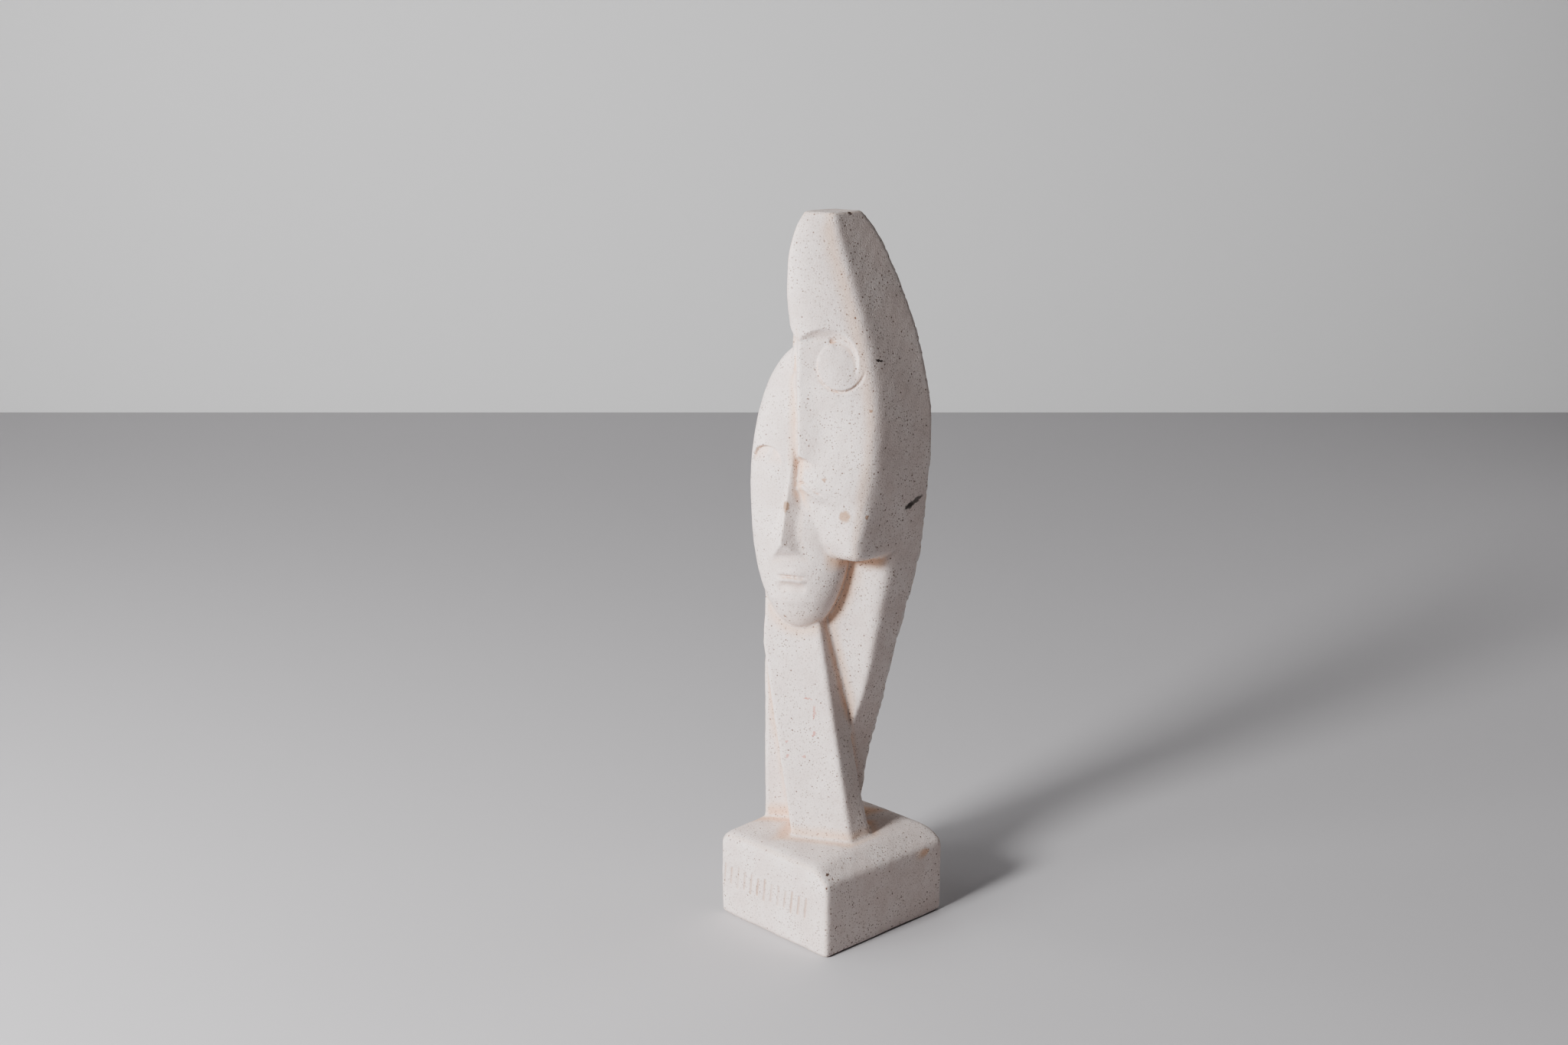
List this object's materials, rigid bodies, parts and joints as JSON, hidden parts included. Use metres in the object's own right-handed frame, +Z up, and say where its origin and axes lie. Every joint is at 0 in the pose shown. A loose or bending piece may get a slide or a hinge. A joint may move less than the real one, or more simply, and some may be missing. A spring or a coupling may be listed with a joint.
{
  "type": "cast stone sculpture of two heads",
  "caption": "Upright pale stone sculpture: a tall mask-like head over a lower turned one, on slab necks rising from a block plinth.",
  "frame": {"origin": "middle of the plinth's underside", "axes": "+Z up along the sculpture's height, -Y out of the plinth's lettered face, +X out of the tall head's flat side"},
  "size_m": [0.072, 0.0786, 0.3345],
  "materials": {
    "cast_stone": "matte"
  },
  "bodies": {
    "root": {"two_head_sculpture": "cast_stone"}
  },
  "joints": []
}
